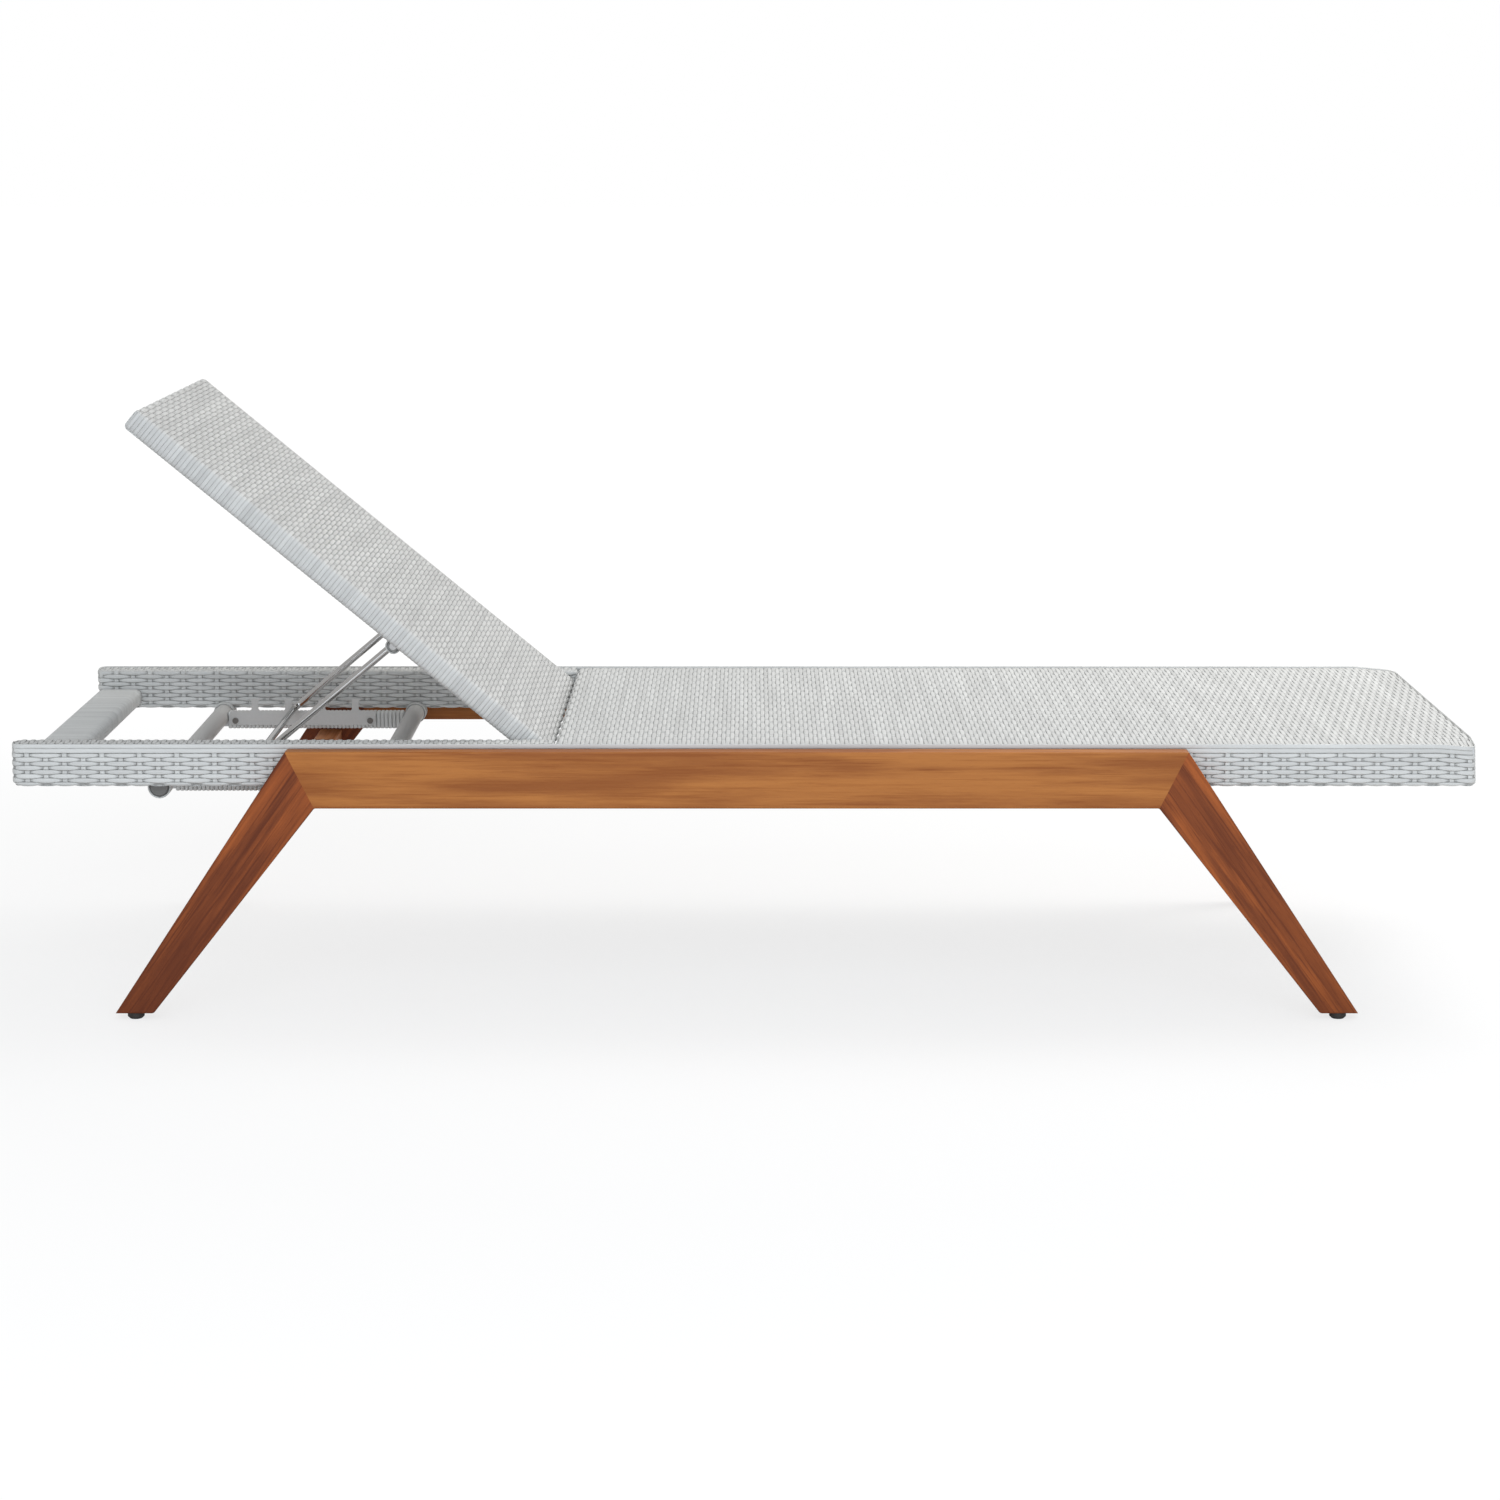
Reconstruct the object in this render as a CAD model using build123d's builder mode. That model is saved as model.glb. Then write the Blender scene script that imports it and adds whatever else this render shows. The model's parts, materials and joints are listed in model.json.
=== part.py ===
"""Sun lounger: a woven aluminium frame on a splayed teak base, with an adjustable backrest.

Millimetres. The origin is on the ground at the middle of the lounger, +X runs to the foot end,
+Y to the left side of a person lying on it, and +Z is up. The backrest stands in its second notch.
"""
import os
from math import atan2, cos, hypot, radians, sin

from build123d import *

# Woven frame
frame_length = 2000
frame_width = 660
seat_height = 380
rail_width = 40
rail_height = 58
rail_corner_round = 13
rail_edge_round = 6
skin = 6
sheet_thickness = 6
tube_wall = 2
seat_end_width = 40
seat_end_height = 44
seat_crossbar_width = 30
seat_crossbar_height = 20
seat_crossbar_count = 2

# Head bar between the rails' head ends
head_bar_width = 67
head_bar_height = 26
head_bar_drop = 29
head_bar_inset = 2
head_bar_round = 9

# Backrest, measured from its hinge axis along the panel and square to it
back_angle = 39.8
back_length = 712
back_tail = 18
back_thickness = 32
back_edge_width = 30
back_skin = 5
back_tail_round = 10
back_head_round = 7
back_edge_round = 4
back_side_gap = 4
back_swing_gap = 4.5
back_head_gap = 4
back_crossbar_width = 20
back_crossbar_height = 20
second_crossbar_along = 470

# Hinge pins and their bushes
pin_radius = 4
pin_grip_length = 24
bush_radius = 7
bush_length = 27
bush_flange_radius = 11
bush_flange = 3.5
running_clearance = 0.05
seat_fit = 0.1

# Rack under the backrest, its places measured from the hinge axis towards the head end
rack_tube_radius = 13.5
rack_tube_wall = 2
rack_tube_drop = 64.5
rack_tube_head_back = 519
rack_tube_foot_back = 224
rack_tube_inset = 28
rack_plug_head = 4
rack_plug_taper = 30
rack_bar_width = 20
rack_bar_height = 26
rack_bar_skin = 3
rack_bar_round = 2
rack_bar_show = 6
plate_thickness = 3
plate_height = 22
plate_drop = 52.5
plate_start_back = 502
plate_end_back = 280.5
plate_inset = 61
plate_corner_round = 2
hook_pitch = 51
hook_count = 4
first_hook_back = 464
hook_height = 18.5
hook_width = 10
hook_nib_length = 4
hook_nib_height = 4
hook_root_round = 4
screw_radius = 2.5
screw_head_radius = 4.5
screw_head = 2.5
screw_length = 20
screw_inset = 8

# Prop: a bent rod that swings under the backrest and drops between the rack's hooks
prop_radius = 5
prop_pivot_along = 242.4
prop_pivot_drop = 21
prop_side_gap = 0.5
prop_bend_radius = 12
prop_stub_length = 32
prop_corner_length = 30
prop_notch = 2
lug_radius = 10
lug_gap = 1.5
lug_width = 17

# Teak base, drawn as one outline and cut at the mitres
wood_thickness = 28
wood_center_x = -10.8
wood_drop = 6
wood_height = 78
wood_end_inset = 388.3
mitre_slant = 38.1
leg_foot_inset = 147
leg_foot_width = 52.3
leg_toe_round = 6
knee_round = 4
wood_edge_round = 2.5
stretcher_width = 33
stretcher_height = 44
stretcher_drop = 15
stretcher_shift = 12.6
stretcher_edge_round = 2
dowel_radius = 5
dowel_length = 56
dowel_spacing = 34
stretcher_dowel_radius = 4
stretcher_dowel_length = 40
stretcher_dowel_spacing = 22
glide_radius = 11.5
glide_height = 9
glide_chamfer = 3

# Bolts that hold the woven frame between the teak rails
bolt_radius = 4
bolt_head_radius = 6.5
bolt_head = 5
bolt_bite_length = 16
bolt_inset = 79.5
bolt_pitch = 320
bolt_count = 3

# Places worked out from the sizes above
sides = {"left": 1, "right": -1}
ends = {"head": -1, "foot": 1}
half_length = frame_length / 2
half_width = frame_width / 2
rail_inner = half_width - rail_width
rail_middle = half_width - rail_width / 2
rail_bottom = seat_height - rail_height
rail_z = seat_height - rail_height / 2
rail_core_length = frame_length - 2 * skin
rail_core_width = rail_width - 2 * skin
rail_core_height = rail_height - 2 * skin
cross_length = 2 * rail_inner
back_half_width = rail_inner - back_side_gap
back_inner = back_half_width - back_edge_width
back_edge_middle = back_half_width - back_edge_width / 2
back_sheet_under = back_thickness / 2 - sheet_thickness
hinge_x = back_head_gap + back_length - half_length
hinge_z = seat_height - back_thickness / 2
tail_reach = hypot(back_tail - back_tail_round, back_thickness / 2 - back_tail_round) + back_tail_round
seat_start = hinge_x + tail_reach + back_swing_gap
sheet_start = seat_start + seat_end_width
sheet_end = half_length - rail_width
rack_tube_head_x = hinge_x - rack_tube_head_back
rack_tube_foot_x = hinge_x - rack_tube_foot_back
rack_tube_places = {"head": rack_tube_head_x, "foot": rack_tube_foot_x}
rack_tube_end = half_width - rack_tube_inset
rack_tube_z = seat_height - rack_tube_drop
plate_start = hinge_x - plate_start_back
plate_end = hinge_x - plate_end_back
plate_top = seat_height - plate_drop
plate_bottom = plate_top - plate_height
plate_y = rail_inner - plate_inset
plate_outer = plate_y + plate_thickness
rack_bar_y = plate_outer + rack_bar_width / 2
rack_bar_z = plate_bottom + rack_bar_height / 2 - rack_bar_show
screw_places = (plate_start + screw_inset, plate_end - screw_inset)
prop_arm_y = plate_y - prop_side_gap - prop_radius
lug_y = prop_arm_y + prop_bend_radius + lug_gap
wood_outer = half_width + wood_thickness
wood_middle_y = half_width + wood_thickness / 2
wood_top = seat_height - wood_drop
wood_bottom = wood_top - wood_height
wood_half_top = half_length - wood_end_inset
wood_half_under = wood_half_top - mitre_slant
leg_outer_foot = half_length - leg_foot_inset
leg_inner_foot = leg_outer_foot - leg_foot_width
glide_x = (leg_outer_foot + leg_inner_foot) / 2
knee_x = (wood_half_top + wood_half_under) / 2
knee_z = (wood_top + wood_bottom) / 2
stretcher_z = wood_bottom - stretcher_drop - stretcher_height / 2
leg_run = (knee_z - stretcher_z) / (knee_z - glide_height)
stretcher_x = knee_x + leg_run * (glide_x - knee_x) - stretcher_shift
bolt_places = [seat_start + bolt_inset + number * bolt_pitch for number in range(bolt_count)]

# The panel plane has its X along the backrest to its head and its Z out of the lying surface.
tilt = radians(back_angle)
panel = Plane(
    origin=(hinge_x, 0, hinge_z),
    x_dir=(-cos(tilt), 0, sin(tilt)),
    z_dir=(sin(tilt), 0, cos(tilt)),
)

# The prop plane has its X down the prop's arms, from their pivot to the notch, and its Y across.
prop_pivot = panel.from_local_coords(Vector(prop_pivot_along, 0, -prop_pivot_drop))
first_hook_x = hinge_x - first_hook_back
notch_x = first_hook_x + (prop_notch - 1) * hook_pitch + hook_width / 2 + prop_radius
notch_z = plate_top + prop_radius
prop_length = hypot(prop_pivot.X - notch_x, prop_pivot.Z - notch_z)
prop_slope = atan2(prop_pivot.Z - notch_z, prop_pivot.X - notch_x)
prop_plane = Plane(
    origin=prop_pivot,
    x_dir=(-cos(prop_slope), 0, -sin(prop_slope)),
    z_dir=(sin(prop_slope), 0, -cos(prop_slope)),
)

os.makedirs("parts", exist_ok=True)


def save(part, name):
    """Label one finished piece and write it to its file."""
    part.label = name
    export_step(part, f"parts/{name}.step")


def across(plane, x, y, z):
    """A plane at a point of the given plane, with the same X, whose Z runs against its Y."""
    return Plane(origin=plane.from_local_coords(Vector(x, y, z)), x_dir=plane.x_dir, z_dir=-plane.y_dir)


def along(plane, x, y, z):
    """A plane at a point of the given plane, whose Z runs along its X."""
    return Plane(origin=plane.from_local_coords(Vector(x, y, z)), x_dir=plane.y_dir, z_dir=plane.x_dir)


def outward(side, x, y, z):
    """A plane on one side, y from the middle, whose Z points outwards."""
    return Plane(origin=(x, side * y, z), x_dir=(1, 0, 0), z_dir=(0, side, 0))


def crosswise(side, x, z, start, stop, radius):
    """A round rod across the lounger on one side, between two distances from the middle."""
    with BuildPart() as rod:
        with BuildSketch(outward(side, x, start, z)):
            Circle(radius)
        extrude(amount=stop - start)
    return rod.part


def peg(plane, radius, length):
    """A round peg centred on a plane's origin, along its Z."""
    with BuildPart() as rod:
        with BuildSketch(plane):
            Circle(radius)
        extrude(amount=length / 2, both=True)
    return rod.part


def box_tube(plane, length, width, height, wall):
    """A straight rectangular tube along the plane's Z, starting on it."""
    with BuildPart() as tube:
        with BuildSketch(plane):
            Rectangle(width, height)
            Rectangle(width - 2 * wall, height - 2 * wall, mode=Mode.SUBTRACT)
        extrude(amount=length)
    return tube.part


def open_sleeve(plane, length, width, height, cover, edge_round):
    """A woven cover along the plane's Z, open at both ends, round a rectangular tube."""
    with BuildPart() as sleeve:
        with BuildSketch(plane):
            RectangleRounded(width, height, edge_round)
            Rectangle(width - 2 * cover, height - 2 * cover, mode=Mode.SUBTRACT)
        extrude(amount=length)
    return sleeve.part


# Teak base: each side frame is one outline, cut at the mitres into a rail and two legs
def wood_outline():
    """The side frame's outline, seen along Y: a rail with a splayed, tapered leg at each end."""
    Polyline(
        (wood_center_x - leg_outer_foot, glide_height),
        (wood_center_x - wood_half_top, wood_top),
        (wood_center_x + wood_half_top, wood_top),
        (wood_center_x + leg_outer_foot, glide_height),
        (wood_center_x + leg_inner_foot, glide_height),
        (wood_center_x + wood_half_under, wood_bottom),
        (wood_center_x - wood_half_under, wood_bottom),
        (wood_center_x - leg_inner_foot, glide_height),
        close=True,
    )


def mitre_plane(end):
    """The cut between rail and leg at one end: X runs up the cut and Z points into the leg."""
    low = Vector(wood_center_x + end * wood_half_under, 0, wood_bottom)
    high = Vector(wood_center_x + end * wood_half_top, 0, wood_top)
    rise = high - low
    return Plane(origin=(low + high) / 2, x_dir=rise, z_dir=(end * rise.Z, 0, -end * rise.X))


def mitre_dowel_planes(side, end):
    """The two dowel axes of one mitre, each as a plane that faces the leg."""
    cut = mitre_plane(end)
    middle = cut.origin + Vector(0, side * wood_middle_y, 0)
    steps = (-dowel_spacing / 2, dowel_spacing / 2)
    return [Plane(origin=middle + cut.x_dir * step, x_dir=cut.x_dir, z_dir=cut.z_dir) for step in steps]


def stretcher_dowel_planes(side, end):
    """The two dowel axes that join one end of a stretcher to its leg, facing outwards."""
    place = wood_center_x + end * stretcher_x
    steps = (-stretcher_dowel_spacing / 2, stretcher_dowel_spacing / 2)
    return [outward(side, place, half_width, stretcher_z + step) for step in steps]


for side_name, side in sides.items():
    far_face = wood_outer if side > 0 else -half_width
    holes = [
        crosswise(side, place, rail_z, rail_inner, half_width + bolt_bite_length, bolt_radius + seat_fit)
        for place in bolt_places
    ]
    for end in ends.values():
        for plane in mitre_dowel_planes(side, end):
            holes.append(peg(plane, dowel_radius + running_clearance, dowel_length))
        for plane in stretcher_dowel_planes(side, end):
            holes.append(peg(plane, stretcher_dowel_radius + running_clearance, stretcher_dowel_length))
    with BuildPart() as blank:
        with BuildSketch(Plane.XZ.offset(-far_face)):
            with BuildLine():
                wood_outline()
            make_face()
        extrude(amount=wood_thickness)
        corners = blank.edges().filter_by(Axis.Y).group_by(Axis.Z)
        toes = corners[0].sort_by(Axis.X)
        fillet(corners[1] + corners[2], knee_round)
        fillet(toes[1:3], leg_toe_round)
        flats = blank.faces().sort_by(Axis.Y)
        fillet(flats[0].edges() + flats[-1].edges(), wood_edge_round)
        add(holes, mode=Mode.SUBTRACT)
    with BuildPart() as wood_rail:
        add(blank.part)
        for end in ends.values():
            split(bisect_by=mitre_plane(end), keep=Keep.BOTTOM)
    save(wood_rail.part, f"wood_rail_{side_name}")
    for end_name, end in ends.items():
        with BuildPart() as leg:
            add(blank.part)
            split(bisect_by=mitre_plane(end), keep=Keep.TOP)
        save(leg.part, f"leg_{end_name}_{side_name}")
        with BuildPart() as glide:
            with BuildSketch(Plane((wood_center_x + end * glide_x, side * wood_middle_y, 0))):
                Circle(glide_radius)
            extrude(amount=glide_height)
            chamfer(glide.edges().sort_by(Axis.Z)[0], glide_chamfer)
        save(glide.part, f"glide_{end_name}_{side_name}")

for end_name, end in ends.items():
    holes = [
        peg(plane, stretcher_dowel_radius + running_clearance, stretcher_dowel_length)
        for side in sides.values()
        for plane in stretcher_dowel_planes(side, end)
    ]
    with BuildPart() as stretcher:
        with Locations((wood_center_x + end * stretcher_x, 0, stretcher_z)):
            Box(stretcher_width, frame_width, stretcher_height)
        fillet(stretcher.edges().filter_by(Axis.Y), stretcher_edge_round)
        add(holes, mode=Mode.SUBTRACT)
    save(stretcher.part, f"stretcher_{end_name}")

joints = [(side, end) for side in sides.values() for end in ends.values()]
pegs = [peg(plane, dowel_radius, dowel_length) for joint in joints for plane in mitre_dowel_planes(*joint)]
with BuildPart() as mitre_dowels:
    add(pegs)
save(mitre_dowels.part, "mitre_dowels")

pegs = [
    peg(plane, stretcher_dowel_radius, stretcher_dowel_length)
    for joint in joints
    for plane in stretcher_dowel_planes(*joint)
]
with BuildPart() as stretcher_dowels:
    add(pegs)
save(stretcher_dowels.part, "stretcher_dowels")


# Woven frame: a tube in a woven sleeve along each side, with cross members between them
def rail_cuts(side):
    """Cut from a rail's sleeve and tube: the rack tubes' saddles, the bolt holes and the pin's hole."""
    saddle_end = rack_tube_end + rack_plug_head + seat_fit
    cuts = [
        crosswise(side, place, rack_tube_z, rail_inner - skin, saddle_end, rack_tube_radius + seat_fit)
        for place in rack_tube_places.values()
    ]
    for place in bolt_places:
        cuts.append(crosswise(side, place, rail_z, rail_inner - skin, wood_outer, bolt_radius + seat_fit))
    pin_end = rail_inner + pin_grip_length + seat_fit
    cuts.append(crosswise(side, hinge_x, hinge_z, rail_inner - skin, pin_end, pin_radius + running_clearance))
    return cuts


for side_name, side in sides.items():
    cuts = rail_cuts(side)
    core_start = along(Plane.XY, -rail_core_length / 2, side * rail_middle, rail_z)
    core = box_tube(core_start, rail_core_length, rail_core_width, rail_core_height, tube_wall)
    with BuildPart() as side_wrap:
        with BuildSketch(Plane.XY.offset(rail_bottom)):
            with Locations((0, side * rail_middle)):
                RectangleRounded(frame_length, rail_width, rail_corner_round)
        extrude(amount=rail_height)
        levels = side_wrap.faces().sort_by(Axis.Z)
        fillet(levels[0].edges() + levels[-1].edges(), rail_edge_round)
        with Locations((0, side * rail_middle, rail_z)):
            Box(rail_core_length, rail_core_width, rail_core_height, mode=Mode.SUBTRACT)
        add(cuts, mode=Mode.SUBTRACT)
    save(side_wrap.part, f"side_wrap_{side_name}")

    with BuildPart() as side_tube:
        add(core)
        add(cuts, mode=Mode.SUBTRACT)
    save(side_tube.part, f"side_tube_{side_name}")

    pin_start = back_half_width - bush_length
    hinge_pin = crosswise(side, hinge_x, hinge_z, pin_start, rail_inner + pin_grip_length, pin_radius)
    save(hinge_pin, f"hinge_pin_{side_name}")

foot_middle = half_length - rail_width / 2
seat_head_middle = seat_start + seat_end_width / 2
seat_head_z = seat_height - seat_end_height / 2
head_bar_middle = -half_length + head_bar_inset + head_bar_width / 2
head_bar_z = seat_height - head_bar_drop - head_bar_height / 2
cross_members = {
    "foot_end": (foot_middle, rail_z, rail_width, rail_height, rail_edge_round),
    "seat_head": (seat_head_middle, seat_head_z, seat_end_width, seat_end_height, rail_edge_round),
    "head_bar": (head_bar_middle, head_bar_z, head_bar_width, head_bar_height, head_bar_round),
}
for member, (place, middle_z, width, height, edge_round) in cross_members.items():
    start = across(Plane.XY, place, rail_inner, middle_z)
    save(open_sleeve(start, cross_length, width, height, skin, edge_round), f"{member}_wrap")
    save(box_tube(start, cross_length, width - 2 * skin, height - 2 * skin, tube_wall), f"{member}_tube")

with BuildPart() as seat_sheet:
    with BuildSketch(Plane.XY.offset(seat_height - sheet_thickness)):
        with Locations(((sheet_start + sheet_end) / 2, 0)):
            Rectangle(sheet_end - sheet_start, cross_length)
    extrude(amount=sheet_thickness)
save(seat_sheet.part, "seat_sheet")

for number in range(1, seat_crossbar_count + 1):
    place = sheet_start + number * (sheet_end - sheet_start) / (seat_crossbar_count + 1)
    start = across(Plane.XY, place, rail_inner, seat_height - sheet_thickness - seat_crossbar_height / 2)
    crossbar = box_tube(start, cross_length, seat_crossbar_width, seat_crossbar_height, tube_wall)
    save(crossbar, f"seat_crossbar_{number}")

with BuildPart() as frame_bolts:
    for side in sides.values():
        for place in bolt_places:
            with BuildSketch(outward(side, place, rail_inner, rail_z)):
                Circle(bolt_radius)
            extrude(amount=rail_width + bolt_bite_length - seat_fit)
            with BuildSketch(outward(side, place, rail_inner, rail_z)):
                RegularPolygon(bolt_head_radius, 6)
            extrude(amount=-bolt_head)
save(frame_bolts.part, "frame_bolts")

# Rack: two cross tubes let into the rails, a covered bar between them on each side, and a hooked plate
for end_name, place in rack_tube_places.items():
    with BuildPart() as rack_tube:
        with BuildSketch(outward(1, place, 0, rack_tube_z)):
            Circle(rack_tube_radius)
            Circle(rack_tube_radius - rack_tube_wall, mode=Mode.SUBTRACT)
        extrude(amount=rack_tube_end, both=True)
    save(rack_tube.part, f"rack_tube_{end_name}")

with BuildPart() as rack_plugs:
    for place in rack_tube_places.values():
        for side in sides.values():
            with BuildSketch(outward(side, place, rack_tube_end, rack_tube_z)):
                Circle(rack_tube_radius)
            extrude(amount=rack_plug_head, taper=rack_plug_taper)
            with BuildSketch(outward(side, place, rack_tube_end, rack_tube_z)):
                Circle(rack_tube_radius - rack_tube_wall - running_clearance)
            extrude(amount=-2 * rack_plug_head)
save(rack_plugs.part, "rack_plugs")

for side_name, side in sides.items():
    screw_stop = plate_y + screw_length + seat_fit
    screw_holes = [
        crosswise(side, place, rack_bar_z, plate_y - plate_thickness, screw_stop, screw_radius + seat_fit)
        for place in screw_places
    ]
    tube_spaces = [
        crosswise(side, place, rack_tube_z, 0, half_width, rack_tube_radius + seat_fit)
        for place in rack_tube_places.values()
    ]
    bar_length = rack_tube_foot_x - rack_tube_head_x
    bar_start = along(Plane.XY, rack_tube_head_x, side * rack_bar_y, rack_bar_z)
    width, height = rack_bar_width, rack_bar_height
    core_width, core_height = width - 2 * rack_bar_skin, height - 2 * rack_bar_skin
    layers = {
        "wrap": open_sleeve(bar_start, bar_length, width, height, rack_bar_skin, rack_bar_round),
        "tube": box_tube(bar_start, bar_length, core_width, core_height, tube_wall),
    }
    for layer, solid in layers.items():
        with BuildPart() as rack_bar:
            add(solid)
            add(tube_spaces + screw_holes, mode=Mode.SUBTRACT)
        save(rack_bar.part, f"rack_bar_{layer}_{side_name}")

    far_face = plate_outer if side > 0 else -plate_y
    with BuildPart() as rack_plate:
        with BuildSketch(Plane.XZ.offset(-far_face)) as plate_face:
            with Locations(((plate_start + plate_end) / 2, (plate_top + plate_bottom) / 2)):
                RectangleRounded(plate_end - plate_start, plate_height, plate_corner_round)
            for number in range(hook_count):
                head_side = first_hook_x + number * hook_pitch - hook_width / 2
                foot_side = head_side + hook_width
                with BuildLine():
                    Polyline(
                        (head_side, plate_top - hook_root_round),
                        (head_side, plate_top + hook_height),
                        (foot_side + hook_nib_length, plate_top + hook_height),
                        (foot_side, plate_top + hook_height - hook_nib_height),
                        (foot_side, plate_top - hook_root_round),
                        close=True,
                    )
                make_face()
            roots = plate_face.vertices().filter_by(lambda v: abs(v.Y - plate_top) < seat_fit)
            fillet(roots.sort_by(Axis.X)[1:-1], hook_root_round)
        extrude(amount=plate_thickness)
        add(screw_holes, mode=Mode.SUBTRACT)
    save(rack_plate.part, f"rack_plate_{side_name}")

with BuildPart() as rack_screws:
    for side in sides.values():
        for place in screw_places:
            with BuildSketch(outward(side, place, plate_y, rack_bar_z)):
                Circle(screw_radius)
            extrude(amount=screw_length)
            with BuildSketch(outward(side, place, plate_y, rack_bar_z)):
                Circle(screw_head_radius)
            extrude(amount=-screw_head)
save(rack_screws.part, "rack_screws")


# Backrest: a tubular frame in woven sleeves, a woven sheet flush with their tops, and two crossbars
def back_block(start, stop, y_start, width, tail_round, head_round):
    """A stretch of the backrest, from one world y to a higher one, with its end corners rounded."""
    with BuildPart() as block:
        with BuildSketch(across(panel, 0, -y_start, 0)) as outline:
            with Locations(((start + stop) / 2, 0)):
                Rectangle(stop - start, back_thickness)
            if tail_round:
                fillet(outline.vertices().group_by(Axis.X)[0], tail_round)
            if head_round:
                fillet(outline.vertices().group_by(Axis.X)[-1], head_round)
        extrude(amount=width)
    return block.part


back_core_width = back_edge_width - 2 * back_skin
back_core_height = back_thickness - 2 * back_skin
back_core_length = back_length + back_tail - 2 * back_skin
back_core_middle = (back_length - back_tail) / 2
bush_start = back_half_width - bush_length

for side_name, side in sides.items():
    y_start = min(side * back_inner, side * back_half_width)
    solid = back_block(-back_tail, back_length, y_start, back_edge_width, back_tail_round, back_head_round)
    bush_hole = crosswise(side, hinge_x, hinge_z, bush_start, rail_inner, bush_radius + running_clearance)
    core_start = along(panel, -back_tail + back_skin, -side * back_edge_middle, 0)
    core = box_tube(core_start, back_core_length, back_core_width, back_core_height, tube_wall)
    with BuildPart() as back_edge_wrap:
        add(solid)
        outer_face = back_edge_wrap.faces().sort_by(Axis.Y)[-1 if side > 0 else 0]
        fillet(outer_face.edges(), back_edge_round)
        with Locations(panel * Location((back_core_middle, -side * back_edge_middle, 0))):
            Box(back_core_length, back_core_width, back_core_height, mode=Mode.SUBTRACT)
        add(bush_hole, mode=Mode.SUBTRACT)
    save(back_edge_wrap.part, f"back_edge_wrap_{side_name}")

    with BuildPart() as back_edge_tube:
        add(core)
        add(bush_hole, mode=Mode.SUBTRACT)
    save(back_edge_tube.part, f"back_edge_tube_{side_name}")

    with BuildPart() as hinge_bush:
        with BuildSketch(outward(side, hinge_x, bush_start, hinge_z)):
            Circle(bush_radius)
        extrude(amount=bush_length)
        with BuildSketch(outward(side, hinge_x, back_half_width, hinge_z)):
            Circle(bush_flange_radius)
        extrude(amount=bush_flange)
        with BuildSketch(outward(side, hinge_x, bush_start, hinge_z)):
            Circle(pin_radius + running_clearance)
        extrude(amount=bush_length + bush_flange, mode=Mode.SUBTRACT)
    save(hinge_bush.part, f"hinge_bush_{side_name}")

back_sheet_start = back_edge_width - back_tail
back_sheet_end = back_length - back_edge_width
back_ends = {
    "tail": (-back_tail, back_sheet_start, back_tail_round, 0),
    "head": (back_sheet_end, back_length, 0, back_head_round),
}
for end_name, (start, stop, tail_round, head_round) in back_ends.items():
    place = (start + stop) / 2
    solid = back_block(start, stop, -back_inner, 2 * back_inner, tail_round, head_round)
    with BuildPart() as back_end_wrap:
        add(solid)
        with Locations(panel * Location((place, 0, 0))):
            Box(back_core_width, 2 * back_inner, back_core_height, mode=Mode.SUBTRACT)
    save(back_end_wrap.part, f"back_{end_name}_wrap")
    core_start = across(panel, place, back_inner, 0)
    core = box_tube(core_start, 2 * back_inner, back_core_width, back_core_height, tube_wall)
    save(core, f"back_{end_name}_tube")

with BuildPart() as back_sheet:
    with BuildSketch(panel.offset(back_sheet_under)):
        with Locations(((back_sheet_start + back_sheet_end) / 2, 0)):
            Rectangle(back_sheet_end - back_sheet_start, 2 * back_inner)
    extrude(amount=sheet_thickness)
save(back_sheet.part, "back_sheet")

crossbar_middle = back_sheet_under - back_crossbar_height / 2
for number, place in enumerate((prop_pivot_along, second_crossbar_along), 1):
    start = across(panel, place, back_inner, crossbar_middle)
    crossbar = box_tube(start, 2 * back_inner, back_crossbar_width, back_crossbar_height, tube_wall)
    save(crossbar, f"back_crossbar_{number}")

# Prop: two arms and a cross bar of bent rod, hung in lugs under the backrest's first crossbar
lug_top = crossbar_middle - back_crossbar_height / 2
for side_name, side in sides.items():
    lug_start = min(side * lug_y, side * (lug_y + lug_width))
    with BuildPart() as prop_lug:
        with BuildSketch(across(panel, prop_pivot_along, -lug_start, 0)):
            with Locations((0, -prop_pivot_drop)):
                Circle(lug_radius)
            with Locations((0, (lug_top - prop_pivot_drop) / 2)):
                Rectangle(2 * lug_radius, lug_top + prop_pivot_drop)
            with Locations((0, -prop_pivot_drop)):
                Circle(prop_radius + running_clearance, mode=Mode.SUBTRACT)
        extrude(amount=lug_width)
    save(prop_lug.part, f"prop_lug_{side_name}")

    with BuildPart() as prop_arm:
        with BuildLine(prop_plane):
            route = FilletPolyline(
                (0, side * (prop_arm_y + prop_stub_length)),
                (0, side * prop_arm_y),
                (prop_length, side * prop_arm_y),
                (prop_length, side * (prop_arm_y - prop_corner_length)),
                radius=prop_bend_radius,
            )
        with BuildSketch(Plane(origin=route @ 0, z_dir=route % 0)):
            Circle(prop_radius)
        sweep()
    save(prop_arm.part, f"prop_arm_{side_name}")

bar_half = prop_arm_y - prop_corner_length
with BuildPart() as prop_bar:
    with BuildSketch(across(prop_plane, prop_length, bar_half, 0)):
        Circle(prop_radius)
    extrude(amount=2 * bar_half)
save(prop_bar.part, "prop_bar")
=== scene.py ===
"""Looks of the sun lounger: its woven strands, teak and metal, and a plain studio. Metres."""
import json
from collections import namedtuple
from math import atan2, ceil, cos, inf, pi, radians, sin, tan

import bmesh
import bpy
import numpy as np
from mathutils import Matrix, Vector


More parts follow.
